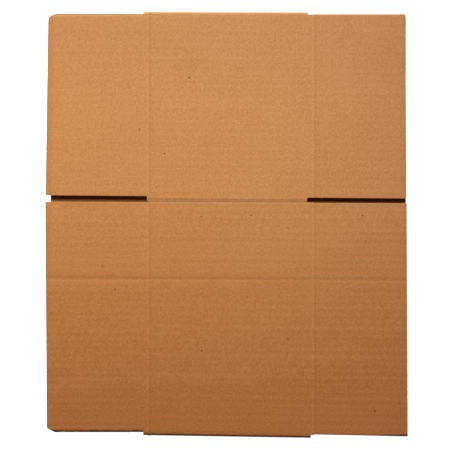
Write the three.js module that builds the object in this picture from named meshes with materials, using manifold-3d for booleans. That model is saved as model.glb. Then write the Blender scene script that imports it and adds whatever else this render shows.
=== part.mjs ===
// Corrugated carton, folded flat
// One sheet of single-wall board is folded twice and closed by a glued side joint, so
// that it lies as two layers of wall panels. Millimetres, +Z up, X along the flutes
// and the box height, Y across the four wall panels. The underside lies at Z = 0.
import * as THREE from 'three';
import { mergeVertices } from 'three/addons/utils/BufferGeometryUtils.js';
import Module from 'manifold-3d';

// Board
const BOARD = 4.0; // C-flute board
const LAYER_GAP = 0.3; // air between the two layers
const TAB_BOARD = 3.0; // glue tab, crushed in the joint

// Flap scores, where the box height is the distance between them
const BOX_HEIGHT = 177.8;
const SCORE_LEFT = -83.7;
const SCORE_RIGHT = SCORE_LEFT + BOX_HEIGHT;
const HINGE_GAP = 0.3; // between a flap and its wall panel
const SCORE_HALF_WIDTH = 1.0;
const SCORE_DEPTH = 0.5;

// Places of the lines across the folded carton at X = 0
const TOP_FOLD_Y = 229.8;
const BOTTOM_FOLD_Y = -228.45;
const TAB_SCORE_Y = 28.2; // end of the upper short panel, start of the tab
const LONG_EDGE_Y = 24.6; // raw edge of the upper long panel
const SHORT_EDGE_Y = 30.25; // slot edge of the upper short flaps
const HAND_CREASE_Y = -58.9; // crease pressed into the upper long panel
const LONG_FLAP_BOTTOM_Y = -223.95; // fold-side edge of the upper right long flap

// The same lines with their slopes, since the sheet was glued slightly out of square
const line = (y, slope) => (x) => y + slope * x;
const TOP_FOLD = line(TOP_FOLD_Y, -0.002);
const BOTTOM_FOLD = line(BOTTOM_FOLD_Y, -0.0163);
const TAB_SCORE = line(TAB_SCORE_Y, -0.0072);
const LONG_EDGE = line(LONG_EDGE_Y, -0.0047);
const SHORT_EDGE = line(SHORT_EDGE_Y, -0.0091);
const HAND_CREASE = line(HAND_CREASE_Y, -0.0071);
const LONG_FLAP_BOTTOM = line(LONG_FLAP_BOTTOM_Y, -0.0213);

const TAB_END = -9; // hidden end of the glue tab
const LOWER_SCORE = -25.8; // wall score of the lower layer
const FOLD_DEPTH = 3.2; // how far a fold bulges past the flat board
const FOLD_SOLID = 4.0; // closed part of a fold
const FOLD_STEPS = 8;
const TAB_STEP = 0.8; // slope from the panel down to the tab

// Creases
const CREASE_HALF_WIDTH = 2.2;
const CREASE_DEPTH = 0.6;
const LOWER_SCORE_HALF_WIDTH = 1.5;
const LOWER_SCORE_DEPTH = 0.6;

// Slots
const SHOULDER_X = -89.8; // left fold slots stop short of the score
const TOP_SLOT_X = 87.9; // right fold slots run past the score
const BOTTOM_SLOT_X = 90.8;
const JOINT_SLOT_X = 86.8;
const LOWER_SLOT_X = 88.0;
const LOWER_SLOT_HALF = 3.2;
const TOP_SLOT_Y = 227.0; // where the right slots bite into the folds
const BOTTOM_SLOT_Y = -226.2;

// Flap outlines: outer ends and fold-side edges
const SHORT_LEFT = { top: 226.65, topEnd: -192.3, jointEnd: -195.1 };
const SHORT_RIGHT = { top: 227.2, topEnd: 192.9, jointEnd: 193.7 };
const LONG_LEFT = { bottom: -222.85, bottomEnd: -193.8, jointEnd: -195.2 };
const LONG_RIGHT = { bottom: LONG_FLAP_BOTTOM, bottomEnd: 195.3, jointEnd: 193.9 };
const LOWER_LONG = { left: -189.9, right: 193.5, topLeft: 227.8, topRight: 226.8 };
const LOWER_SHORT = { left: -190.6, right: 192.4, bottomLeft: -223.6, bottomRight: -225.4 };
const WORN_CORNER = 5.5; // rounded corners at the left end
const CRISP_CORNER = 1.0;
const SLOT_CORNER = 1.6;
const CORNER_STEPS = 5;

const KRAFT = 0xc08a58;

// Heights of the layers. The upper long panel rises over the tab.
const FLAT_TOP = 2 * BOARD + LAYER_GAP;
const UPPER_LOW = BOARD + LAYER_GAP;
const RISE_FROM = BOTTOM_FOLD(0) + FOLD_DEPTH;
const RISE = TAB_BOARD / (LONG_EDGE(0) - RISE_FROM);
const longTop = (x, y) => FLAT_TOP + RISE * (y - RISE_FROM);
const longLow = (x, y) => longTop(x, y) - BOARD;
const at = (z) => () => z;

const wasm = await Module();
wasm.setup();

// Solids from vertices and triangles
function solid(vertices, triangles) {
  return new wasm.Manifold(new wasm.Mesh({
    numProp: 3,
    vertProperties: new Float32Array(vertices.flat()),
    triVerts: new Uint32Array(triangles.flat()),
  }));
}

// Plan outline with rounded corners, each point being [x, y, radius]
function outline(corners) {
  const points = [];
  corners.forEach(([x, y, r = 0], i) => {
    if (r === 0) { points.push([x, y]); return; }
    const here = new THREE.Vector2(x, y);
    const [px, py] = corners.at(i - 1);
    const [nx, ny] = corners[(i + 1) % corners.length];
    const before = new THREE.Vector2(px, py).sub(here).normalize();
    const after = new THREE.Vector2(nx, ny).sub(here).normalize();
    const a = here.clone().addScaledVector(before, r);
    const b = here.clone().addScaledVector(after, r);
    const arc = new THREE.QuadraticBezierCurve(a, here, b);
    arc.getPoints(CORNER_STEPS).forEach((p) => points.push([p.x, p.y]));
  });
  return points;
}

// Board or cutter between two sloping planes over an anticlockwise plan outline
function slab(points, low, high) {
  const n = points.length;
  const shape = points.map(([x, y]) => new THREE.Vector2(x, y));
  const faces = THREE.ShapeUtils.triangulateShape(shape, []);
  const vertices = [
    ...points.map(([x, y]) => [x, y, low(x, y)]),
    ...points.map(([x, y]) => [x, y, high(x, y)]),
  ];
  const triangles = [];
  faces.forEach(([a, b, c]) => triangles.push([a, c, b], [a + n, b + n, c + n]));
  for (let i = 0; i < n; i++) {
    const j = (i + 1) % n;
    triangles.push([i, j, j + n], [i, j + n, i + n]);
  }
  return solid(vertices, triangles);
}

function block(x0, x1, y0, y1, z0, z1) {
  return slab([[x0, y0], [x1, y0], [x1, y1], [x0, y1]], at(z0), at(z1));
}

// V-shaped cutter along a straight line on a face, cutting down (side 1) or up (side -1)
const GROOVE_LIFT = 0.4;
function groove([x0, y0], [x1, y1], halfWidth, depth, face, side) {
  const along = new THREE.Vector2(x1 - x0, y1 - y0).normalize();
  const wide = halfWidth * (1 + GROOVE_LIFT / depth);
  const vertices = [];
  [[x0, y0], [x1, y1]].forEach(([x, y]) => {
    const dx = -along.y * wide;
    const dy = along.x * wide;
    vertices.push([x + dx, y + dy, face(x + dx, y + dy) + side * GROOVE_LIFT]);
    vertices.push([x - dx, y - dy, face(x - dx, y - dy) + side * GROOVE_LIFT]);
    vertices.push([x, y, face(x, y) - side * depth]);
  });
  const triangles = [[0, 2, 1], [3, 4, 5], [0, 1, 4], [0, 4, 3], [1, 2, 5], [1, 5, 4],
    [2, 0, 3], [2, 3, 5]];
  const wanted = side === 1 ? triangles : triangles.map(([a, b, c]) => [a, c, b]);
  return solid(vertices, wanted);
}

// Cross-section of the folded sheet at one X, as an outer loop and the flat hollow
function section(x) {
  const top = TOP_FOLD(x) - FOLD_DEPTH;
  const bottom = BOTTOM_FOLD(x) + FOLD_DEPTH;
  const outer = [];
  const bulge = (centre, height, way) => {
    for (let i = 0; i <= FOLD_STEPS; i++) {
      const a = (i / FOLD_STEPS - 0.5) * Math.PI;
      const z = height / 2 * (1 + way * Math.sin(a));
      outer.push([centre + way * FOLD_DEPTH * Math.cos(a), z]);
    }
  };
  bulge(top, FLAT_TOP, 1);
  outer.push([TAB_SCORE(x), FLAT_TOP]);
  const tabTop = (y) => longLow(x, y);
  outer.push([TAB_SCORE(x) - TAB_STEP, tabTop(TAB_SCORE(x) - TAB_STEP)]);
  outer.push([LONG_EDGE(x), tabTop(LONG_EDGE(x))]);
  outer.push([LONG_EDGE(x), longTop(x, LONG_EDGE(x))]);
  bulge(bottom, longTop(x, bottom), -1);
  const hollowTop = TOP_FOLD(x) - FOLD_SOLID;
  const hollowBottom = BOTTOM_FOLD(x) + FOLD_SOLID;
  const hollow = [
    [hollowBottom, BOARD], [hollowTop, BOARD], [hollowTop, UPPER_LOW],
    [TAB_END, UPPER_LOW], [TAB_END, longLow(x, TAB_END)],
    [hollowBottom, longLow(x, hollowBottom)],
  ];
  return { outer, hollow };
}

// Solid lofted along X between two loops of the same length
function loft(x0, first, x1, last) {
  const n = first.length;
  const vertices = [
    ...first.map(([y, z]) => [x0, y, z]),
    ...last.map(([y, z]) => [x1, y, z]),
  ];
  const cap = (loop) => THREE.ShapeUtils.triangulateShape(
    loop.map(([y, z]) => new THREE.Vector2(y, z)), []);
  const triangles = [];
  cap(first).forEach(([a, b, c]) => triangles.push([a, c, b]));
  cap(last).forEach(([a, b, c]) => triangles.push([a + n, b + n, c + n]));
  for (let i = 0; i < n; i++) {
    const j = (i + 1) % n;
    triangles.push([i, j, j + n], [i, j + n, i + n]);
  }
  return solid(vertices, triangles);
}

// Folded sheet from the left shoulders to the right scores, open through the middle
const END_SPARE = 5;
function foldedSheet(x0, x1) {
  const tube = loft(x0, section(x0).outer, x1, section(x1).outer);
  const a = x0 - END_SPARE;
  const b = x1 + END_SPARE;
  return tube.subtract(loft(a, section(a).hollow, b, section(b).hollow));
}

const FAR = 300;
const FOLD_ZONE = TOP_FOLD_Y / 2; // past this Y a cut meets only the folds
const sheet = foldedSheet(SHOULDER_X, SCORE_RIGHT - HINGE_GAP / 2);
const leftOfScore = SCORE_LEFT - HINGE_GAP / 2;
const rightOfScore = SCORE_LEFT + HINGE_GAP / 2;
const flapStart = SCORE_RIGHT + HINGE_GAP / 2;

// Pressed marks, cut from everything that they cross
const flatTop = at(FLAT_TOP);
const underside = at(0);
const scoreMarks = (x) => [
  groove([x, LONG_EDGE(x)], [x, FAR], SCORE_HALF_WIDTH, SCORE_DEPTH, flatTop, 1),
  groove([x, -FAR], [x, LONG_EDGE(x)], SCORE_HALF_WIDTH, SCORE_DEPTH, longTop, 1),
  groove([x, -FAR], [x, FAR], SCORE_HALF_WIDTH, SCORE_DEPTH, underside, -1),
];
const handCrease = groove([-FAR, HAND_CREASE(-FAR)], [FAR, HAND_CREASE(FAR)],
  CREASE_HALF_WIDTH, CREASE_DEPTH, longTop, 1);
const lowerScore = groove([SHOULDER_X, LOWER_SCORE], [FAR, LOWER_SCORE],
  LOWER_SCORE_HALF_WIDTH, LOWER_SCORE_DEPTH, underside, -1);
const marks = [...scoreMarks(SCORE_LEFT), ...scoreMarks(SCORE_RIGHT)];
const pressed = (body, extra = []) => [...marks, ...extra].reduce((b, m) => b.subtract(m), body);

// The four walls with their glue tab, less the slots that run past the right scores
function buildWalls() {
  const jointSlot = slab([
    [JOINT_SLOT_X, LONG_EDGE(JOINT_SLOT_X)], [FAR, LONG_EDGE(FAR)],
    [FAR, SHORT_EDGE(FAR)], [JOINT_SLOT_X, SHORT_EDGE(JOINT_SLOT_X)],
  ], at(BOARD + LAYER_GAP / 2), at(FLAT_TOP + BOARD));
  const tabRelief = slab([
    [JOINT_SLOT_X, TAB_END - 1], [FAR, TAB_END - 1],
    [FAR, LONG_EDGE(FAR) + 1], [JOINT_SLOT_X, LONG_EDGE(JOINT_SLOT_X) + 1],
  ], at(BOARD + LAYER_GAP / 2), longLow);
  const slots = [
    jointSlot,
    tabRelief,
    block(-FAR, rightOfScore, -FAR, FAR, -FAR, FAR),
    block(TOP_SLOT_X, FAR, TOP_SLOT_Y, FAR, -FAR, FAR),
    block(BOTTOM_SLOT_X, FAR, -FAR, BOTTOM_SLOT_Y, -FAR, FAR),
    block(LOWER_SLOT_X, FAR, LOWER_SCORE - LOWER_SLOT_HALF, LOWER_SCORE + LOWER_SLOT_HALF,
      -FAR, BOARD + LAYER_GAP / 2),
  ];
  return pressed(slots.reduce((b, s) => b.subtract(s), sheet), [handCrease, lowerScore]);
}

// A left flap keeps its half of the folded board between the slot end and the score
function leftFlap(corners, low, high, shoulder) {
  return slab(outline(corners), low, high).add(sheet.intersect(shoulder));
}
const shoulderBox = (y0, y1, z0, z1) => block(SHOULDER_X - 1, leftOfScore, y0, y1, z0, z1);
const upperLow = at(UPPER_LOW);
const board = at(BOARD);
const crease = [handCrease];

const flaps = {
  flap_short_upper_left: pressed(leftFlap([
    [leftOfScore, SHORT_LEFT.top], [SHORT_LEFT.topEnd, SHORT_LEFT.top, WORN_CORNER],
    [SHORT_LEFT.jointEnd, SHORT_EDGE(SHORT_LEFT.jointEnd), SLOT_CORNER],
    [leftOfScore, SHORT_EDGE(leftOfScore)],
  ], upperLow, flatTop, shoulderBox(FOLD_ZONE, FAR, UPPER_LOW, FAR))),
  flap_long_upper_left: pressed(leftFlap([
    [leftOfScore, LONG_EDGE(leftOfScore)],
    [LONG_LEFT.jointEnd, LONG_EDGE(LONG_LEFT.jointEnd), SLOT_CORNER],
    [LONG_LEFT.bottomEnd, LONG_LEFT.bottom, WORN_CORNER],
    [leftOfScore, LONG_LEFT.bottom],
  ], longLow, longTop, shoulderBox(-FAR, -FOLD_ZONE, UPPER_LOW, FAR)), crease),
  flap_short_upper_right: pressed(slab(outline([
    [flapStart, SHORT_EDGE(flapStart)],
    [SHORT_RIGHT.jointEnd, SHORT_EDGE(SHORT_RIGHT.jointEnd), CRISP_CORNER],
    [SHORT_RIGHT.topEnd, SHORT_RIGHT.top, CRISP_CORNER], [flapStart, SHORT_RIGHT.top],
  ]), upperLow, flatTop)),
  flap_long_upper_right: pressed(slab(outline([
    [flapStart, LONG_RIGHT.bottom(flapStart)],
    [LONG_RIGHT.bottomEnd, LONG_RIGHT.bottom(LONG_RIGHT.bottomEnd), CRISP_CORNER],
    [LONG_RIGHT.jointEnd, LONG_EDGE(LONG_RIGHT.jointEnd), CRISP_CORNER],
    [flapStart, LONG_EDGE(flapStart)],
  ]), longLow, longTop), crease),
  flap_long_lower_left: pressed(leftFlap([
    [leftOfScore, LOWER_LONG.topLeft], [LOWER_LONG.left, LOWER_LONG.topLeft, WORN_CORNER],
    [LOWER_LONG.left, LOWER_SCORE + LOWER_SLOT_HALF, SLOT_CORNER],
    [leftOfScore, LOWER_SCORE + LOWER_SLOT_HALF],
  ], underside, board, shoulderBox(FOLD_ZONE, FAR, -1, BOARD))),
  flap_short_lower_left: pressed(leftFlap([
    [leftOfScore, LOWER_SCORE - LOWER_SLOT_HALF],
    [LOWER_SHORT.left, LOWER_SCORE - LOWER_SLOT_HALF, SLOT_CORNER],
    [LOWER_SHORT.left, LOWER_SHORT.bottomLeft, WORN_CORNER],
    [leftOfScore, LOWER_SHORT.bottomLeft],
  ], underside, board, shoulderBox(-FAR, -FOLD_ZONE, -1, BOARD))),
  flap_long_lower_right: pressed(slab(outline([
    [flapStart, LOWER_SCORE + LOWER_SLOT_HALF],
    [LOWER_LONG.right, LOWER_SCORE + LOWER_SLOT_HALF, CRISP_CORNER],
    [LOWER_LONG.right, LOWER_LONG.topRight, CRISP_CORNER], [flapStart, LOWER_LONG.topRight],
  ]), underside, board)),
  flap_short_lower_right: pressed(slab(outline([
    [flapStart, LOWER_SHORT.bottomRight],
    [LOWER_SHORT.right, LOWER_SHORT.bottomRight, CRISP_CORNER],
    [LOWER_SHORT.right, LOWER_SCORE - LOWER_SLOT_HALF, CRISP_CORNER],
    [flapStart, LOWER_SCORE - LOWER_SLOT_HALF],
  ]), underside, board)),
};

// Named mesh from a solid
function meshOf(name, body) {
  const { vertProperties, triVerts, numProp } = body.getMesh();
  const positions = [];
  for (let i = 0; i < vertProperties.length; i += numProp) {
    positions.push(...vertProperties.slice(i, i + 3));
  }
  const raw = new THREE.BufferGeometry();
  raw.setAttribute('position', new THREE.Float32BufferAttribute(positions, 3));
  raw.setIndex(Array.from(triVerts));
  const geometry = mergeVertices(raw);
  geometry.computeVertexNormals();
  const material = new THREE.MeshStandardMaterial({ color: KRAFT, roughness: 0.85 });
  material.name = 'kraft_board';
  const mesh = new THREE.Mesh(geometry, material);
  mesh.name = name;
  return mesh;
}

const carton = new THREE.Group();
carton.name = 'folded_carton';
carton.add(meshOf('walls', buildWalls()));
Object.entries(flaps).forEach(([name, body]) => carton.add(meshOf(name, body)));

export default carton;
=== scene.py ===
# %% [markdown]
# # Corrugated carton, folded flat
# A slotted carton is one sheet of corrugated board. It is folded twice and glued along
# one side joint, so it lies flat as two layers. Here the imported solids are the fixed
# frame, and each of them gets a detailed board in its place: two liners and the waved
# medium between them, with the scores, slots, joint and wear of the real thing.

# %% Load the frame
import math
import random

import bpy
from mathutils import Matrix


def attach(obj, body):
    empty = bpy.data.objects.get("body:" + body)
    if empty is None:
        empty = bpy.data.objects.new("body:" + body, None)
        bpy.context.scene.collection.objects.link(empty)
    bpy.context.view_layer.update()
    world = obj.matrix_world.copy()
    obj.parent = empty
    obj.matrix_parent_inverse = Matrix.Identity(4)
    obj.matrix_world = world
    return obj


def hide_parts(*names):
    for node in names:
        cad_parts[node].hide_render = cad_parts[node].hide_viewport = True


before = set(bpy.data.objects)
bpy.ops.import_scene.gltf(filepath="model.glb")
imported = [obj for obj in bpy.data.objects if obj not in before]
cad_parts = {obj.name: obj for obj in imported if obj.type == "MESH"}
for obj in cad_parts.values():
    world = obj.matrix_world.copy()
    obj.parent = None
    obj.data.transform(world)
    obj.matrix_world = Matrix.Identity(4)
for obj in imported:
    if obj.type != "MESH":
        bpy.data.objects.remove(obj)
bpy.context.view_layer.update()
MM = 0.001

# %% [markdown]
# ## The sizes of the board
# C-flute board is about 4 mm thick and its waves repeat every 7.5 mm. All numbers here
# are millimetres, and the outlines are those of the solids.

# %% Sizes
BOARD, LINER, MEDIUM = 4.0, 0.3, 0.25
LAYER_GAP, TAB_BOARD = 0.3, 3.0
FLUTE_PITCH = 7.5
ROW_STEP = FLUTE_PITCH / 8
SCORE_LEFT, SCORE_RIGHT, LOWER_SCORE = -83.7, 94.1, -25.8
FOLD_DEPTH = 3.2
TAB_STEP, TAB_END = 0.8, -9.0
SHOULDER_X, TOP_SLOT_X, BOTTOM_SLOT_X = -89.8, 87.9, 90.8
JOINT_SLOT_X, LOWER_SLOT_X, LOWER_SLOT_HALF = 86.8, 88.0, 3.2
TOP_SLOT_Y, BOTTOM_SLOT_Y = 227.0, -226.2
NOTCH_SPARE = 1
WORN_CORNER, CRISP_CORNER = 6.5, 1.0
print("row step", ROW_STEP, "mm")

# %% [markdown]
# The lines across the carton are written as Y at X = 0 and a slope, because the sheet
# was glued slightly out of square. The upper long panel lies on the glue tab, so its
# height is a slope too.

# %% Lines and heights
def line(y, slope=0.0):
    return lambda x: y + slope * x


def shifted(base, amount):
    return lambda x: base(x) + amount


top_fold = line(229.8, -0.002)
bottom_fold = line(-228.45, -0.0163)
fold_top = shifted(top_fold, -FOLD_DEPTH)
fold_bottom = shifted(bottom_fold, FOLD_DEPTH)
tab_score = line(28.2, -0.0072)
long_edge = line(24.6, -0.0047)
short_edge = line(30.25, -0.0091)
hand_crease = line(-58.9, -0.0071)

FLAT_TOP = 2 * BOARD + LAYER_GAP
UPPER_LOW = BOARD + LAYER_GAP
BETWEEN_LAYERS = 4.1
RISE_FROM = bottom_fold(0) + FOLD_DEPTH
RISE = TAB_BOARD / (long_edge(0) - RISE_FROM)


def at(z):
    return lambda y: z


def long_top(y):
    return FLAT_TOP + RISE * (y - RISE_FROM)


def long_low(y):
    return long_top(y) - BOARD


print("upper long panel rises", round(RISE * 1000, 1), "mm per metre")

# %% [markdown]
# ## Pressed marks
# A score is a line pressed into the board so that it bends there. On the outer face it
# shows as a low bead, with a faint furrow beside it. The carton was also bent once by
# hand across the long panel, which left a shallow valley with a lip, and the board sags
# a little before it turns over the bottom fold. The liner also sinks between the
# flutes, which is why fine lines show through it. A bump map could draw all this, but
# it would look flat from the side, so the marks are moved into the mesh.

# %% Relief of the outer face
BEAD, BEAD_WIDTH, BEAD_SHIFT = 0.26, 1.3, 0.3
UNDER_BEAD = -0.5
FURROW, FURROW_WIDTH, FURROW_AWAY = 0.07, 3.0, 10.5
VALLEY, VALLEY_WIDTH = 0.24, 2.1
LIP, LIP_WIDTH, LIP_AWAY = 0.3, 2.0, 3.4
EDGE_DROP, EDGE_WIDTH = 0.34, 0.9
BROW, BROW_WIDTH, BROW_INSIDE = 0.24, 2.0, 3.0
SINK, LONG_SINK = 0.016, 1.7
SWELL, BEAT, LEAN = 0.41, 0.173, 0.004


def bell(distance, width):
    return math.exp(-((distance / width) ** 2))


def relief(x, y, along, upper, long_panel):
    """Height of the outer face over its plain place, at a distance along the section."""
    sink = SINK * (LONG_SINK if long_panel else 1.0)
    height = sink * math.cos(2 * math.pi * along / FLUTE_PITCH)
    height += sink * math.sin(along * SWELL) * math.sin(along * BEAT + x * LEAN)
    for score in (SCORE_LEFT, SCORE_RIGHT):
        bead = BEAD * bell(x - score - BEAD_SHIFT, BEAD_WIDTH)
        height += bead if upper else UNDER_BEAD * bead
        height -= FURROW * bell(x - score + FURROW_AWAY, FURROW_WIDTH)
    if upper and long_panel:
        height -= VALLEY * bell(y - hand_crease(x), VALLEY_WIDTH)
        height += LIP * VALLEY * bell(y - hand_crease(x) - LIP_AWAY, LIP_WIDTH)
        height -= EDGE_DROP * bell(y - long_edge(x), EDGE_WIDTH)
        height -= BROW * bell(y - bottom_fold(x) - BROW_INSIDE, BROW_WIDTH)
    return height


print("a bead rises", BEAD, "mm and the hand crease sinks", VALLEY, "mm")

# %% [markdown]
# ## Rows across the board
# A board is laid out as rows that follow its section, from one free edge to the other.
# Each row knows the outer face and the inner face at its place. Flat stretches and folds
# are made by two helpers. A row may also be worn or carry painted shade, or be pressed
# down at a free edge.

# %% Rows of a section
# The top fold's rows are darkened through the same value as worn rims: painted shade over
# the round that the lamp lights most.
FOLD_PAINTED_SHADE = 1.1
SECOND_ROW = 0.36
INNER_FOLD = 0.5


def flat_rows(start, end, outer_z, inner_z, upper, long_panel, length):
    """Rows between two lines, as many as fit in a length at one row step each."""
    count = max(1, round(length / ROW_STEP))
    rows = []
    for i in range(count + 1):
        t = i / count
        rows.append({"y": lambda x, t=t: start(x) * (1 - t) + end(x) * t, "out": outer_z,
                     "in": inner_z, "upper": upper, "long": long_panel, "arc": None})
    return rows


def fold_rows(centre, way, first, last, count):
    """Rows round a fold between two angles. Way is 1 at the top fold, -1 at the bottom."""
    rows = []
    for i in range(count + 1):
        angle = math.radians(first + (last - first) * i / count)
        rows.append({"y": centre, "arc": (way, angle), "upper": angle > 0,
                     "long": way < 0, "wear_and_shade": FOLD_PAINTED_SHADE if way > 0 else 0.0})
    return rows


def press(rows, low, high):
    """Presses the outer face down along a free edge, by an amount that varies with X."""
    for first, second, amount in ((0, 1, low), (-1, -2, high)):
        if amount:
            rows[first]["press"] = amount
            rows[second]["press"] = lambda x, amount=amount: SECOND_ROW * amount(x)


def row_points(row, x):
    """Outer and inner face of a row at one X, as (y, z)."""
    y = row["y"](x)
    if row["arc"] is None:
        pressed = row["press"](x) if "press" in row else 0.0
        return (y, row["out"](y) - pressed), (y, row["in"](y))
    way, angle = row["arc"]
    high = FLAT_TOP / 2
    outer = (y + way * FOLD_DEPTH * math.cos(angle), high + high * math.sin(angle))
    inner = (y + way * INNER_FOLD * math.cos(angle),
             high + LAYER_GAP / 2 * math.sin(angle))
    return outer, inner


print("rows per flute:", FLUTE_PITCH / ROW_STEP)

# %% [markdown]
# ## Columns along the flutes
# The columns stand close together at the scores, where the bead needs them, and wide
# apart on the plain stretches. The medium and the inner liner of the walls have no beads,
# so they need only a few. A flap's columns reach out from its score to its cut end,
# which is not quite parallel to the score.

# %% Columns
NEAR = [0.015, 0.5, 1.0, 1.6, 2.3, 3.2, 4.4, 6.08, 6.14, 8.0, 10.5, 13.0]
NEAR_CORE = [NEAR[0], 5.0]
MIDDLE_START, MIDDLE_SPAN = -60, 126.5
PLAIN_WALL, PLAIN_CORE, PLAIN_FLAP, PLAIN_CRUSHED = 8, 3, 12, 20


def wall_columns(near, plain):
    left = [SCORE_LEFT + d for d in near]
    right = [SCORE_RIGHT - d for d in near]
    slots = [JOINT_SLOT_X, TOP_SLOT_X, LOWER_SLOT_X, BOTTOM_SLOT_X]
    middle = [MIDDLE_START + MIDDLE_SPAN * i / (plain - 1) for i in range(plain)]
    return [lambda y, x=x: x for x in sorted(set(left + middle + slots + right))]


def flap_columns(score, way, end, plain):
    columns = [lambda y, d=d: score + way * d for d in NEAR]
    start = score + way * NEAR[-1]
    for i in range(1, plain + 1):
        t = i / plain
        columns.append(lambda y, t=t: start * (1 - t) + end(y) * t)
    return columns if way > 0 else columns[::-1]


wall_outer_columns = wall_columns(NEAR, PLAIN_WALL)
wall_core_columns = wall_columns(NEAR_CORE, PLAIN_CORE)
print("wall columns:", len(wall_outer_columns), "and", len(wall_core_columns))

# %% [markdown]
# ## One sheet of paper
# The board could be one thick plate with stripes painted on its edge, but then the slots
# would show no flutes. So it is three sheets of paper. The outer liner lies under the
# outer face and takes the relief, the inner liner lies on the inner face, and the medium
# swings between them once per flute. Paper is rubbed along its free edges, and how much
# is kept in an attribute named wear_and_shade, which the materials read. The same
# attribute carries painted shade on the round of the top fold and on the glue tab.

# %% Place and wear of a point
GLUE_FILM = 0.05
FOLD_RUB = 1.2
RUB_REACH = 1.6
FAR = 99


def paper_point(kind, row, x, along):
    """Y and Z of a point of one sheet, at a distance along the section."""
    (oy, oz), (iy, iz) = row_points(row, x)
    dy, dz = oy - iy, oz - iz
    thick = math.hypot(dy, dz)
    ny, nz = dy / thick, dz / thick
    if kind == "outer":
        depth = -LINER / 2 + relief(x, oy, along, row["upper"], row["long"])
        return oy + ny * depth, oz + nz * depth
    if kind == "inner":
        return iy + ny * LINER / 2, iz + nz * LINER / 2
    clear = LINER + MEDIUM / 2 + GLUE_FILM
    share = 0.5 + 0.5 * math.cos(2 * math.pi * along / FLUTE_PITCH)
    depth = clear + max(thick - 2 * clear, 0.0) * share
    return iy + ny * depth, iz + nz * depth


def wear_and_shade_at(row, rows_to_edge, end_gap):
    """How worn a point is by its distance from the nearest free edge, raised to the
    painted shade of its row where that is more.
    """
    side_gap = rows_to_edge * ROW_STEP if row["arc"] is None else FOLD_RUB
    return max(math.exp(-min(end_gap, side_gap) / RUB_REACH), row.get("wear_and_shade", 0.0))


print("wear fades over", RUB_REACH, "mm")

# %% [markdown]
# Slots are cut by deleting the faces inside them. A corner is rounded with three upright
# planes that slice the sheet. A Boolean could do both, but it needs closed shapes, and
# the sheet is still open here.

# %% Cuts and slices
CORNER_ANGLES = (22.5, 45, 67.5)


def deselect():
    if bpy.context.object and bpy.context.object.mode != "OBJECT":
        bpy.ops.object.mode_set(mode="OBJECT")
    bpy.ops.object.select_all(action="DESELECT")


def cut_out(mesh, inside):
    """Deletes the faces whose middle is inside. Starts and ends in edit mode."""
    bpy.ops.mesh.select_all(action="DESELECT")
    bpy.ops.object.mode_set(mode="OBJECT")
    for face in mesh.polygons:
        face.select = inside(*(v / MM for v in face.center))
    bpy.ops.object.mode_set(mode="EDIT")
    bpy.ops.mesh.delete(type="FACE")


def slice_off(x, y, nx, ny):
    """Cuts away all that lies beyond an upright plane, in edit mode."""
    bpy.ops.mesh.select_all(action="SELECT")
    bpy.ops.mesh.bisect(plane_co=(x * MM, y * MM, 0), plane_no=(nx, ny, 0),
                        clear_outer=True)


def round_corner(cx, cy, sx, sy, radius):
    for angle in CORNER_ANGLES:
        nx = sx * math.cos(math.radians(angle))
        ny = sy * math.sin(math.radians(angle))
        slice_off(cx - sx * radius + radius * nx, cy - sy * radius + radius * ny, nx, ny)


def slice_along(start, end):
    """Cuts away all that lies to the right of the way from start to end."""
    run = math.dist(start, end)
    slice_off(*start, (end[1] - start[1]) / run, (start[0] - end[0]) / run)


print("a corner takes", len(CORNER_ANGLES), "slices")

# %% [markdown]
# Each sheet starts as a grid whose points are laid on the rows and columns. A cut end is
# frayed a little, row by row. Solidify then gives the paper its thickness, and its rim
# takes another material, because cut fibres are paler and rougher than the face.

# %% Grid to sheet
random.seed(7)
FRAY = 0.13
OUTER_FACE, INNER_FACE = 0, 1
RIM_OFFSET = {"outer": 2, "medium": 1, "inner": 1}


def lay_grid(mesh, rows, columns, kind, frayed):
    """Puts the grid in place. Frayed is the column of the cut end: 0, -1 or None."""
    wear_and_shade = mesh.attributes.new("wear_and_shade", "FLOAT", "POINT")
    jitter = [[random.uniform(-1, 1) for _ in rows] for _ in range(2)]
    count = len(columns)
    along = 0.0
    before = row_points(rows[0], 0.0)[0]
    for r, row in enumerate(rows):
        middle = row_points(row, 0.0)[0]
        along += math.dist(before, middle)
        before = middle
        for c, column in enumerate(columns):
            x = column(row["y"](column(0.0)))
            if c == 0:
                x += row.get("reach", 0.0)
            y, z = paper_point(kind, row, x, along)
            end_gap = FAR
            if frayed is not None:
                if c == frayed % count:
                    x += FRAY * jitter[frayed][r]
                end_gap = abs(x - columns[frayed](y))
            mesh.vertices[r * count + c].co = (x * MM, y * MM, z * MM)
            wear_and_shade_value = wear_and_shade_at(row, min(r, len(rows) - 1 - r), end_gap)
            wear_and_shade.data[r * count + c].value = wear_and_shade_value


def thicken(sheet, kind):
    """Gives a sheet its materials and its thickness, and turns its faces outwards."""
    for material in (kraft_outer, kraft_inner, raw_edge):
        sheet.data.materials.append(material)
    for face in sheet.data.polygons:
        face.material_index = OUTER_FACE if kind == "outer" else INNER_FACE
    paper = sheet.modifiers.new("paper", "SOLIDIFY")
    paper.thickness = (MEDIUM if kind == "medium" else LINER) * MM
    paper.offset = 0
    paper.material_offset_rim = RIM_OFFSET[kind]
    bpy.ops.object.modifier_apply(modifier="paper")
    bpy.ops.object.mode_set(mode="EDIT")
    bpy.ops.mesh.select_all(action="SELECT")
    bpy.ops.mesh.normals_make_consistent(inside=False)
    bpy.ops.object.mode_set(mode="OBJECT")


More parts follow.
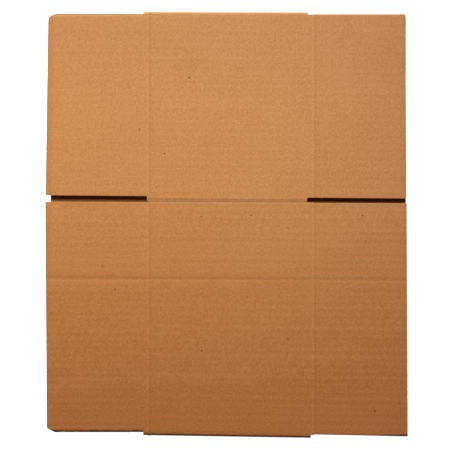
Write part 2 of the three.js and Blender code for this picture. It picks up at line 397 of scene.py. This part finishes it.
def paper_sheet(rows, columns, kind, cuts, corners=(), frayed=None, slices=()):
    deselect()
    bpy.ops.mesh.primitive_grid_add(x_subdivisions=len(columns) - 1,
                                    y_subdivisions=len(rows) - 1, size=1)
    sheet = bpy.context.object
    sheet.name = kind
    lay_grid(sheet.data, rows, columns, kind, frayed)
    bpy.ops.object.mode_set(mode="EDIT")
    bpy.ops.mesh.select_mode(type="FACE")
    for inside in cuts:
        cut_out(sheet.data, inside)
    for corner in corners:
        round_corner(*corner)
    for start, end in slices:
        slice_along(start, end)
    bpy.ops.object.mode_set(mode="OBJECT")
    thicken(sheet, kind)
    return sheet


print("liners are", LINER, "mm thick and the medium is", MEDIUM, "mm")

# %% [markdown]
# The three sheets of a board are joined to one piece, which takes the place of a solid
# and rides on that solid's body. The faces are smooth up to an angle that keeps the cut
# rims sharp and lets the flutes and folds look round.

# %% Sheets to board
SMOOTH_UP_TO = 32


def board_piece(name, node, body, sheets):
    """Joins the paper sheets of one board and puts it in its node's place."""
    deselect()
    for sheet in sheets:
        sheet.select_set(True)
    bpy.context.view_layer.objects.active = sheets[0]
    bpy.ops.object.join()
    piece = bpy.context.object
    bpy.ops.object.shade_smooth_by_angle(angle=math.radians(SMOOTH_UP_TO))
    piece.name = name
    piece.data.name = name
    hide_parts(node)
    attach(piece, body)
    print(name, len(piece.data.polygons), "faces")


print("smooth up to", SMOOTH_UP_TO, "degrees")

# %% [markdown]
# ## Paper
# Kraft paper is matt, brown and full of fibres. A picture of it could be laid on the
# mesh, but it would blur near by and repeat. So one shader group gives fine grain,
# longer fibres, soft clouds and flecks, and another draws the faint lines of the flutes
# behind the liner. Every paper of the carton uses them with its own values. All of it
# is read from Object coordinates, so it stays on the carton in every view.

# %% Node helpers
MIX_FACTOR, MIX_A, MIX_B, MIX_COLOUR = 0, 6, 7, 2


def new_group(name, inputs, outputs):
    """A shader group whose inputs and outputs are all plain numbers."""
    group = bpy.data.node_groups.new(name, "ShaderNodeTree")
    for title in inputs:
        group.interface.new_socket(title, in_out="INPUT", socket_type="NodeSocketFloat")
    for title in outputs:
        group.interface.new_socket(title, in_out="OUTPUT", socket_type="NodeSocketFloat")
    return group, group.nodes.new("NodeGroupInput"), group.nodes.new("NodeGroupOutput")


def node(tree, kind, links=(), **settings):
    """A new node, whose inputs are linked to sockets or set to values."""
    made = tree.nodes.new(kind)
    for key, value in settings.items():
        setattr(made, key, value)
    for socket, value in links:
        if hasattr(value, "is_output"):
            tree.links.new(value, made.inputs[socket])
        else:
            made.inputs[socket].default_value = value
    return made


def math_node(tree, operation, a, b=0.0, clamp=False):
    made = node(tree, "ShaderNodeMath", [(0, a), (1, b)], operation=operation,
                use_clamp=clamp)
    return made.outputs[0]


def ramp(tree, value, start, end, low=0.0, high=1.0):
    """Goes from low to high while the value goes from start to end."""
    made = node(tree, "ShaderNodeMapRange",
                [("Value", value), ("From Min", start), ("From Max", end),
                 ("To Min", low), ("To Max", high)])
    return made.outputs[0]


def noise(tree, place, scale, detail=2.0, roughness=0.5):
    """Noise of so many cells a metre, one number or one for each of X, Y and Z."""
    if isinstance(scale, tuple):
        place = node(tree, "ShaderNodeMapping",
                     [("Vector", place), ("Scale", scale)]).outputs[0]
        scale = 1.0
    made = node(tree, "ShaderNodeTexNoise",
                [("Vector", place), ("Scale", scale), ("Detail", detail),
                 ("Roughness", roughness)])
    return made.outputs[0]


def swing(tree, value, amount):
    """Moves a noise to both sides of zero and multiplies it."""
    centred = math_node(tree, "SUBTRACT", value, 0.5)
    return math_node(tree, "MULTIPLY", centred, amount)


def mix_colours(tree, factor, first, second):
    made = node(tree, "ShaderNodeMix",
                [(MIX_FACTOR, factor), (MIX_A, first), (MIX_B, second)], data_type="RGBA")
    return made.outputs[MIX_COLOUR]


def combine(tree, operation, *vectors):
    made = node(tree, "ShaderNodeVectorMath", list(enumerate(vectors)),
                operation=operation)
    return made.outputs[0]


print("colour sockets of a Mix:", MIX_A, "and", MIX_B)

# %% [markdown]
# The grain is Noise with cells of about two millimetres. The fibres are Noise stretched
# along the machine direction, which runs across the flutes, and the clouds are where the
# pulp was thicker. Their sum moves the shade up and down by a few percent. A few cells of
# a Voronoi hold a fleck: a dark bark speck of its own size, or a small pale fibre knot.

# %% Fibre group
GRAIN_CELLS, FIBRE_CELLS, CLOUD_CELLS, FLECK_CELLS = 470.0, (560, 300, 400), 26.0, 75.0
FIBRE_SHARE = 0.5
DARK_ABOVE, DARK_SIZE = 0.955, 0.07
PALE_ABOVE, PALE_SIZE, PALE_GAIN = 0.94, 0.05, 0.22

fibre, given, result = new_group("paper fibre", ("Grain", "Clouds", "Specks"),
                                 ("Shade", "Height", "Speck"))
place = node(fibre, "ShaderNodeTexCoord").outputs["Object"]
grain = swing(fibre, noise(fibre, place, GRAIN_CELLS, detail=1.0), given.outputs["Grain"])
fibre_amount = math_node(fibre, "MULTIPLY", given.outputs["Grain"], FIBRE_SHARE)
strands = swing(fibre, noise(fibre, place, FIBRE_CELLS), fibre_amount)
clouds = swing(fibre, noise(fibre, place, CLOUD_CELLS, detail=3.0, roughness=0.55),
               given.outputs["Clouds"])
fine = math_node(fibre, "ADD", grain, strands)

cells = node(fibre, "ShaderNodeTexVoronoi", [("Vector", place), ("Scale", FLECK_CELLS)],
             voronoi_dimensions="2D")
draw = node(fibre, "ShaderNodeSeparateColor", [("Color", cells.outputs["Color"])]).outputs
away = cells.outputs["Distance"]
dark_radius = math_node(fibre, "MULTIPLY", draw[1], DARK_SIZE)
dark = math_node(fibre, "MULTIPLY", math_node(fibre, "GREATER_THAN", draw[0], DARK_ABOVE),
                 math_node(fibre, "LESS_THAN", away, dark_radius))
speck = math_node(fibre, "MULTIPLY", dark, given.outputs["Specks"])
pale = math_node(fibre, "MULTIPLY", math_node(fibre, "GREATER_THAN", draw[2], PALE_ABOVE),
                 math_node(fibre, "LESS_THAN", away, PALE_SIZE))
knot = math_node(fibre, "MULTIPLY", pale, PALE_GAIN)
shade = math_node(fibre, "ADD", math_node(fibre, "ADD", fine, clouds), knot)
for title, value in (("Shade", shade), ("Height", fine), ("Speck", speck)):
    fibre.links.new(value, result.inputs[title])
print("fibre nodes:", len(fibre.nodes))

# %% [markdown]
# Behind the liner the medium touches it once per flute, and that shows as faint stripes.
# A weaker wave at half the pitch is added, so the lines are finer than the flutes. They
# fade in and out along the board, and wider bands come from the corrugating rolls.

# %% Flute group
HALF_PITCH_WAVE = 0.7
FADE_CELLS, BAND_CELLS = (9, 30, 1), (3.5, 95, 1)
BAND_GAIN = 5.0

flutes, given, result = new_group("flute marks", ("Strength",), ("Shade",))
place = node(flutes, "ShaderNodeTexCoord").outputs["Object"]
across = node(flutes, "ShaderNodeSeparateXYZ", [("Vector", place)]).outputs["Y"]
turn = 2 * math.pi / (FLUTE_PITCH * MM)
wave = math_node(flutes, "COSINE", math_node(flutes, "MULTIPLY", across, turn))
half = math_node(flutes, "COSINE", math_node(flutes, "MULTIPLY", across, 2 * turn))
half = math_node(flutes, "MULTIPLY", half, HALF_PITCH_WAVE)
lines = math_node(flutes, "ADD", wave, half)
fading = math_node(flutes, "MULTIPLY", lines, noise(flutes, place, FADE_CELLS))
bands = swing(flutes, noise(flutes, place, BAND_CELLS), BAND_GAIN)
marks = math_node(flutes, "ADD", fading, bands)
marks = math_node(flutes, "MULTIPLY", marks, given.outputs["Strength"])
flutes.links.new(marks, result.inputs["Shade"])
print("flute nodes:", len(flutes.nodes))

# %% [markdown]
# The tone drifts over the carton, paler on the short panel, deeper on the long one and
# darkest at the bottom. That ramp is painted shade, added to the lamp's own fall of light
# down the carton. The paper is also tinted warmer to the left and rosier to the right. One
# ramp from top to bottom holds the tones, and two mixes tint them from left to right.
# Distances are in metres here.

# %% Tone over the carton
TONE_TOP, TONE_BOTTOM = 0.205, -0.205
LEFT_TINT, LEFT_REACH = (0.985, 0.965, 0.90, 1), (-0.19, 0.02)
MIDDLE_TINT = (1.022, 1.028, 1.03, 1)
RIGHT_TINT, RIGHT_REACH = (0.957, 0.935, 1.022, 1), (0.06, 0.19)


def tone_with_painted_falloff(tree, xyz, tones):
    """The paper's colour at its place, with painted shade to the bottom, before grain and
    wear.
    """
    # The ramp darkens the paper towards the bottom: painted shade.
    painted_falloff = ramp(tree, xyz["Y"], TONE_TOP, TONE_BOTTOM)
    tone = node(tree, "ShaderNodeValToRGB", [("Fac", painted_falloff)])
    stops = tone.color_ramp.elements
    stops[0].color = (*tones[0.0], 1)
    stops[1].color = (*tones[1.0], 1)
    for part_way in sorted(set(tones) - {0.0, 1.0}):
        stops.new(part_way).color = (*tones[part_way], 1)
    tint = mix_colours(tree, ramp(tree, xyz["X"], *LEFT_REACH), LEFT_TINT, MIDDLE_TINT)
    tint = mix_colours(tree, ramp(tree, xyz["X"], *RIGHT_REACH), tint, RIGHT_TINT)
    return combine(tree, "MULTIPLY", tone.outputs["Color"], tint)


print("tone runs from", TONE_TOP, "to", TONE_BOTTOM, "m")

# %% [markdown]
# The shade of the fibres and flutes lightens or darkens that colour, blue more than red,
# because brown paper varies most in how much blue it takes away. The flute lines are
# stronger on the long panel. Worn rims, and the painted shade of the top fold and the glue
# tab, come from the attribute of the mesh, broken into patches, and the specks come last.
# Roughness follows the fibres and clouds, and the height of the grain goes into a bump.

# %% A kraft paper
SHADE_BY_COLOUR = (0.5, 1.18, 2.1)
RIBS_FROM, RIBS_TO, FEW_RIBS, MANY_RIBS = 0.08, -0.1, 0.72, 1.3
WEAR_AND_SHADE_CELLS, PATCH_FROM, PATCH_TO = 140.0, 0.35, 0.75
WEAR_AND_SHADE_LOW, WEAR_AND_SHADE_HIGH = 0.34, 0.64
SPECK_COLOUR = (0.09, 0.035, 0.012, 1)
GLOSS, ROUGH_SWING, BUMP_STRENGTH = 0.18, 0.4, 0.6


def patchy_wear_and_shade(tree, where):
    """How worn the rims are, and the painted shade on the top fold and glue tab, broken
    into patches.
    """
    patch = noise(tree, where, WEAR_AND_SHADE_CELLS, detail=3.0)
    amount = ramp(tree, patch, PATCH_FROM, PATCH_TO, WEAR_AND_SHADE_LOW, WEAR_AND_SHADE_HIGH)
    rim_and_shade = node(tree, "ShaderNodeAttribute", attribute_name="wear_and_shade").outputs["Fac"]
    return math_node(tree, "MULTIPLY", rim_and_shade, amount, clamp=True)


def kraft(name, tones, wear_and_shade_colour, grain, clouds, specks, flute, roughness, bump):
    made = bpy.data.materials.new(name)
    made.use_nodes = True
    tree = made.node_tree
    shader = tree.nodes["Principled BSDF"].inputs
    shader["Specular IOR Level"].default_value = GLOSS
    where = node(tree, "ShaderNodeTexCoord").outputs["Object"]
    xyz = node(tree, "ShaderNodeSeparateXYZ", [("Vector", where)]).outputs
    paper = node(tree, "ShaderNodeGroup", node_tree=fibre)
    for title, value in (("Grain", grain), ("Clouds", clouds), ("Specks", specks)):
        paper.inputs[title].default_value = value
    ribs = node(tree, "ShaderNodeGroup", node_tree=flutes)
    ribs.inputs["Strength"].default_value = flute
    rib_gain = ramp(tree, xyz["Y"], RIBS_FROM, RIBS_TO, FEW_RIBS, MANY_RIBS)
    rib_shade = math_node(tree, "MULTIPLY", ribs.outputs["Shade"], rib_gain)
    shade = math_node(tree, "ADD", paper.outputs["Shade"], rib_shade)
    level = combine(tree, "MULTIPLY_ADD", shade, SHADE_BY_COLOUR, (1, 1, 1))
    colour = combine(tree, "MULTIPLY", tone_with_painted_falloff(tree, xyz, tones), level)
    # Worn rims, and painted shade on the top fold and the glue tab, darken the colour
    # here.
    colour = mix_colours(tree, patchy_wear_and_shade(tree, where), colour, wear_and_shade_colour)
    colour = mix_colours(tree, paper.outputs["Speck"], colour, SPECK_COLOUR)
    tree.links.new(colour, shader["Base Color"])
    rough = math_node(tree, "MULTIPLY", paper.outputs["Shade"], ROUGH_SWING)
    rough = math_node(tree, "ADD", rough, roughness, clamp=True)
    tree.links.new(rough, shader["Roughness"])
    lump = node(tree, "ShaderNodeBump",
                [("Height", paper.outputs["Height"]), ("Distance", bump * MM),
                 ("Strength", BUMP_STRENGTH)])
    tree.links.new(lump.outputs[0], shader["Normal"])
    return made


print("specular level", GLOSS)

# %% [markdown]
# The three papers differ in shade and roughness. The outer face is the smoothest. Along
# its rims it is darker from handling, while the cut rim itself shows pale bare fibres. The
# same darker colour is painted shade on the top fold and the glue tab. A key of the tones
# is the part of the way from the top of the carton to the bottom.

# %% The three papers
# The tones deepen towards the bottom key: painted shade, added to the lamp's fall of
# light.
liner_tones = {0.0: (0.620, 0.281, 0.098), 0.2: (0.674, 0.297, 0.098),
               0.42: (0.681, 0.292, 0.093), 0.7: (0.611, 0.238, 0.066),
               1.0: (0.532, 0.188, 0.053)}
inner_tones = {0.0: (0.38, 0.155, 0.050), 1.0: (0.36, 0.140, 0.045)}
raw_tones = {0.0: (0.66, 0.33, 0.13), 0.42: (0.68, 0.33, 0.13), 1.0: (0.60, 0.26, 0.095)}
kraft_outer = kraft("kraft liner", liner_tones, (0.45, 0.20, 0.065, 1), grain=0.50,
                    clouds=0.10, specks=1.0, flute=0.018, roughness=0.82, bump=0.10)
kraft_inner = kraft("kraft inner liner", inner_tones, (0.38, 0.17, 0.060, 1), grain=0.50,
                    clouds=0.12, specks=1.0, flute=0.010, roughness=0.9, bump=0.16)
raw_edge = kraft("raw cut edge", raw_tones, (0.5, 0.25, 0.1, 1), grain=0.6,
                 clouds=0.2, specks=0.0, flute=0.0, roughness=0.95, bump=0.3)
print("materials:", kraft_outer.name, kraft_inner.name, raw_edge.name)

# %% [markdown]
# ## The folded walls
# The sleeve is one board from the hidden end of the glue tab, over the top fold, through
# the lower layer, round the bottom fold and up to the raw edge over the tab. It could be
# two flat boards with rounded strips between them, but the folds would show a joint. So
# its rows follow the whole way, and the outer liner is one unbroken sheet, as it is in
# the real carton. The rows of the hidden lower layer stand twice as far apart.

# %% Rows of the sleeve
TAB_AIR, TAB_DROP, TAB_REACH = 0.06, 0.2, 2.2
TAB_PAINTED_SHADE = 1.2
TAB_LENGTH, TAB_SEEN, STEP_LENGTH = 33, 2.5, 1.5
SHORT_LENGTH, UNDER_LENGTH, LONG_LENGTH = 196, 226, 250
QUARTER, WALL_ARC = 90, 18
UNDER_AHEAD, FOOT_AHEAD = 0.1, 0.4
under_edge = shifted(long_edge, UNDER_AHEAD)
tab_foot = shifted(long_edge, FOOT_AHEAD)
tab_brow = shifted(tab_score, -TAB_STEP)


def tab_top(y):
    return long_low(y) - TAB_AIR


def wall_rows():
    low, top, seen = at(UPPER_LOW), at(FLAT_TOP), at(FLAT_TOP - TAB_DROP)
    tab = flat_rows(line(TAB_END), under_edge, tab_top, low, True, False, TAB_LENGTH)
    tab += flat_rows(tab_foot, tab_brow, seen, low, True, False, TAB_SEEN)
    # The seen strip of the glue tab is darkened like a worn rim: painted shade in the
    # recess of the joint.
    for row in tab:
        row["wear_and_shade"] = TAB_PAINTED_SHADE
    step = flat_rows(tab_score, short_edge, top, low, True, False, STEP_LENGTH)
    for row in tab + step:
        row["reach"] = -TAB_REACH
    short = flat_rows(short_edge, fold_top, top, low, True, False, SHORT_LENGTH)
    over = fold_rows(fold_top, 1, QUARTER, -QUARTER, WALL_ARC)
    under = flat_rows(fold_top, fold_bottom, at(0.0), at(BOARD), False, False,
                      UNDER_LENGTH)
    back = fold_rows(fold_bottom, -1, -QUARTER, QUARTER, WALL_ARC)
    over_tab = flat_rows(fold_bottom, long_edge, long_top, long_low, True, True,
                         LONG_LENGTH)
    return tab + step + short[1:] + over[1:-1] + under + back[1:-1] + over_tab


rows = wall_rows()
print("rows round the sleeve:", len(rows))

# %% [markdown]
# The slots between the flaps run a little past the right scores, into the walls. Each is
# a test that says whether the middle of a face lies inside it.

# %% Wall sleeve
SLACK = 0.02


def in_joint_slot(x, y, z):
    return x > JOINT_SLOT_X and long_edge(x) < y < short_edge(x) and z > BETWEEN_LAYERS


def in_tab_notch(x, y, z):
    beside = x > JOINT_SLOT_X and TAB_END - NOTCH_SPARE < y <= long_edge(x)
    return beside and BETWEEN_LAYERS < z < long_low(y) + SLACK


def in_lower_slot(x, y, z):
    beside = x > LOWER_SLOT_X and abs(y - LOWER_SCORE) < LOWER_SLOT_HALF
    return beside and z < BETWEEN_LAYERS


wall_cuts = (
    lambda x, y, z: x > TOP_SLOT_X and y > TOP_SLOT_Y,
    lambda x, y, z: x > BOTTOM_SLOT_X and y < BOTTOM_SLOT_Y,
    in_joint_slot,
    in_tab_notch,
    in_lower_slot,
)
board_piece("wall_sleeve", "walls", "walls", [
    paper_sheet(rows, wall_outer_columns, "outer", wall_cuts),
    paper_sheet(rows, wall_core_columns, "medium", wall_cuts),
    paper_sheet(rows, wall_core_columns, "inner", wall_cuts),
])

# %% [markdown]
# ## The flaps
# The flaps could be one sheet with the walls, as in the real carton, but a mesh that is
# one sheet can't turn at its score. So each flap is its own board. The four left flaps
# keep a narrow shoulder of the fold beside the score, where the slot was cut too short:
# a few rows round the fold are added, and what is beyond the shoulder is cut away. The
# number of rows comes from the length of the flap 50 mm from its score.

# %% Flap boards
SIDES = {"left": (SCORE_LEFT, -1), "right": (SCORE_RIGHT, 1)}
FACES = {"short": (at(FLAT_TOP), at(UPPER_LOW)), "long": (long_top, long_low),
         "under": (at(0.0), at(BOARD))}
MEASURED_AT = 50
ARC_END, FLAP_ARC = 3, 10


def shoulder_rows(centre, way, upper):
    turn = 1 if upper else -1
    return fold_rows(centre, way, QUARTER * turn, ARC_END * turn, FLAP_ARC)[1:]


def flap(name, side, end, low_edge, high_edge, layer, corners, fold=None,
         low_press=None, high_press=None, slices=(), plain=PLAIN_FLAP):
    """Builds one flap. A corner is X, Y, 1 at the high edge or -1 at the low, radius."""
    score, way = SIDES[side]
    upper = layer != "under"
    middle = score + way * MEASURED_AT
    length = high_edge(middle) - low_edge(middle)
    rows = flat_rows(low_edge, high_edge, *FACES[layer], upper, layer == "long", length)
    press(rows, low_press, high_press)
    cuts = []
    if fold == "top":
        rows = rows + shoulder_rows(fold_top, 1, upper)
        cuts.append(lambda x, y, z: x < SHOULDER_X and y > high_edge(x) + SLACK)
    if fold == "bottom":
        rows = shoulder_rows(fold_bottom, -1, upper)[::-1] + rows
        cuts.append(lambda x, y, z: x < SHOULDER_X and y < low_edge(x) - SLACK)
    columns = flap_columns(score, way, end, plain)
    corners = [(x, y, way, high, radius) for x, y, high, radius in corners]
    frayed = -1 if way > 0 else 0
    board_piece(name, "flap_" + name, name, [
        paper_sheet(rows, columns, kind, cuts, corners, frayed, slices)
        for kind in ("outer", "medium", "inner")])


print("a shoulder has", len(shoulder_rows(fold_top, 1, True)), "rows")

# %% [markdown]
# The upper flaps are the ones that are seen. Their ends and free edges are lines through
# measured points. The outer left corners are worn from handling, and the right ones are
# still crisp. The outer face is pressed down along the free edges, deeper at the lower
# left, where a corner is crushed and the edge is ragged. The slot knife took a little
# more from the long flaps than from the wall.

# %% Edges of the upper flaps
def through(first, second):
    """X of a cut end at any Y, through two points."""
    (x0, y0), (x1, y1) = first, second
    return lambda y: x0 + (x1 - x0) * (y - y0) / (y1 - y0)


def stepped(outer, inner):
    """An edge that jumps at the shoulder of a left flap."""
    return lambda x: outer(x) if x < SHOULDER_X + SLACK else inner(x)


KNOCK, KNOCK_SWING, CRUMPLE = 0.36, 0.2, 2.5
KNOCK_PACE, KNOCK_BEAT, KNOCK_LAG = 0.21, 0.083, 1.0
RAGGED_Y, RAG, RAG_PACE = -222.75, 0.22, 0.43
FINE_RAG, FINE_PACE, FINE_LAG = 0.2, 0.91, 2.0
TIP_X, TIP_PRESS, EDGE_PRESS = 172, 1.1, 0.15
KNIFE_DRIFT = 0.45


def knocked(x):
    beat = math.sin(x * KNOCK_BEAT + KNOCK_LAG)
    return KNOCK + KNOCK_SWING * math.sin(x * KNOCK_PACE) * beat


def left_of_shoulder(x):
    return knocked(x) if x < SHOULDER_X else 0.0


def crumpled(x):
    return CRUMPLE * knocked(x) if x < SHOULDER_X else 0.0


def ragged(x):
    fine = FINE_RAG * math.sin(x * FINE_PACE + FINE_LAG)
    return RAGGED_Y + RAG * math.sin(x * RAG_PACE) + fine


def right_tip(x):
    return TIP_PRESS if x > TIP_X else EDGE_PRESS


slot_knife = shifted(long_edge, -KNIFE_DRIFT)
crushed_line = [(-193.8, -219.25), (-188.9, -221.55), (-179.0, -222.85)]
crushed = list(zip(crushed_line, crushed_line[1:]))
print("slices of the crushed corner:", len(crushed))

# %% [markdown]
# Each flap is now one call, with its cut end, its low edge and its high edge.

# %% Upper flaps
flap("short_upper_left", "left", through((-192.3, 226.6), (-195.1, 31.9)), short_edge,
     stepped(line(226.65), fold_top), "short",
     [(-192.3, 226.6, 1, WORN_CORNER), (-195.1, 31.9, -1, CRISP_CORNER)],
     fold="top", high_press=left_of_shoulder)
flap("long_upper_left", "left", through((-195.2, 25.5), (-193.8, -222.85)),
     stepped(ragged, fold_bottom), slot_knife, "long",
     [(-195.2, 25.5, 1, CRISP_CORNER)],
     fold="bottom", low_press=crumpled, slices=crushed, plain=PLAIN_CRUSHED)
flap("short_upper_right", "right", through((192.9, 227.2), (193.7, 28.6)), short_edge,
     line(227.2), "short",
     [(192.9, 227.2, 1, CRISP_CORNER), (193.7, 28.5, -1, CRISP_CORNER)],
     high_press=knocked)
flap("long_upper_right", "right", through((193.9, 23.7), (195.3, -228.0)),
     line(-223.95, -0.0213), slot_knife, "long",
     [(195.3, -228.1, -1, CRISP_CORNER), (193.9, 23.7, 1, CRISP_CORNER)],
     low_press=right_tip)

# %% [markdown]
# The four flaps of the lower layer are mostly hidden. Their ends show in the two slots
# beside the joint, and a hair of the upper left one past the flap above it. They are cut
# square, on either side of the slot at the lower score.

# %% Lower flaps
slot_high = LOWER_SCORE + LOWER_SLOT_HALF
slot_low = LOWER_SCORE - LOWER_SLOT_HALF


def lower_flap(name, side, end_x, low_y, high_y, low_radius, high_radius, fold=None):
    low_edge = stepped(line(low_y), fold_bottom) if fold == "bottom" else line(low_y)
    high_edge = stepped(line(high_y), fold_top) if fold == "top" else line(high_y)
    corners = [(end_x, low_y, -1, low_radius), (end_x, high_y, 1, high_radius)]
    flap(name, side, line(end_x), low_edge, high_edge, "under", corners, fold)


lower_flap("long_lower_left", "left", -189.9, slot_high, 227.8,
           CRISP_CORNER, WORN_CORNER, "top")
lower_flap("short_lower_left", "left", -190.6, -223.6, slot_low,
           WORN_CORNER, CRISP_CORNER, "bottom")
lower_flap("long_lower_right", "right", 193.5, slot_high, 226.8,
           CRISP_CORNER, CRISP_CORNER)
lower_flap("short_lower_right", "right", 192.4, -225.4, slot_low,
           CRISP_CORNER, CRISP_CORNER)

# %% [markdown]
# ## Floor
# The photograph has plain white behind the carton. More light would make a pale floor
# white, but it would bleach the carton too. So the floor takes the shadow, and shows
# nearly white to the camera alone, through Is Camera Ray.

# %% Floor and backdrop
FLOOR_SIZE, FLOOR_DROP = 14, 0.0006
FLOOR_PALE, FLOOR_ROUGH, FLOOR_GLOW = 0.85, 0.9, 1.05
deselect()
bpy.ops.mesh.primitive_plane_add(size=FLOOR_SIZE, location=(0, 0, -FLOOR_DROP))
floor = bpy.context.object
floor.name = "floor"
pale_floor = bpy.data.materials.new("pale floor")
pale_floor.use_nodes = True
tree = pale_floor.node_tree
shader = tree.nodes["Principled BSDF"].inputs
shader["Base Color"].default_value = (FLOOR_PALE, FLOOR_PALE, FLOOR_PALE, 1)
shader["Roughness"].default_value = FLOOR_ROUGH
ray = node(tree, "ShaderNodeLightPath")
glow = math_node(tree, "MULTIPLY", ray.outputs["Is Camera Ray"], FLOOR_GLOW)
shader["Emission Color"].default_value = (1, 1, 1, 1)
tree.links.new(glow, shader["Emission Strength"])
floor.data.materials.append(pale_floor)
print("floor", FLOOR_SIZE, "m wide")

# %% [markdown]
# ## Light
# A broad lamp above the top left corner gives the soft fall of light down the carton,
# and a plain pale world fills the shadows.

# %% Lamp and world
LAMP_PLACE, LAMP_SIZE, LAMP_WATTS = (-1.0, 2.1, 1.5), 1.25, 113.0
WORLD_STRENGTH = 0.045
deselect()
bpy.ops.object.light_add(type="AREA", location=LAMP_PLACE)
lamp = bpy.context.object
lamp.name = "window"
lamp.data.size = LAMP_SIZE
lamp.data.energy = LAMP_WATTS
lamp.rotation_euler = (-lamp.location).to_track_quat("-Z", "Y").to_euler()
world = bpy.data.worlds.new("pale room")
world.use_nodes = True
background = world.node_tree.nodes["Background"].inputs
background["Color"].default_value = (1, 1, 1, 1)
background["Strength"].default_value = WORLD_STRENGTH
scene = bpy.context.scene
scene.world = world
scene.view_settings.view_transform = "Standard"
print("lamp of", LAMP_WATTS, "W")

# %% [markdown]
# ## Camera
# The photograph looks straight down with little perspective, so a long lens stands high
# above the carton. One pixel of the photograph is 1.08 mm on its upper face, and the
# middle of the frame lies a little to the left of the middle of the carton.

# %% Camera
PIXEL, FRAME = 1.078, 450
CAMERA_X, CAMERA_Y, CAMERA_Z = -1.68, -0.11, 2.6
SENSOR, FAR_CLIP = 36.0, 50
bpy.ops.object.camera_add(location=(CAMERA_X * MM, CAMERA_Y * MM, CAMERA_Z),
                          rotation=(0, 0, 0))
camera = bpy.context.object
camera.name = "camera"
camera.data.sensor_width = SENSOR
camera.data.lens = SENSOR * (CAMERA_Z - FLAT_TOP * MM) / (FRAME * PIXEL * MM)
camera.data.clip_end = FAR_CLIP
scene.camera = camera
print("lens", round(camera.data.lens, 1), "mm")
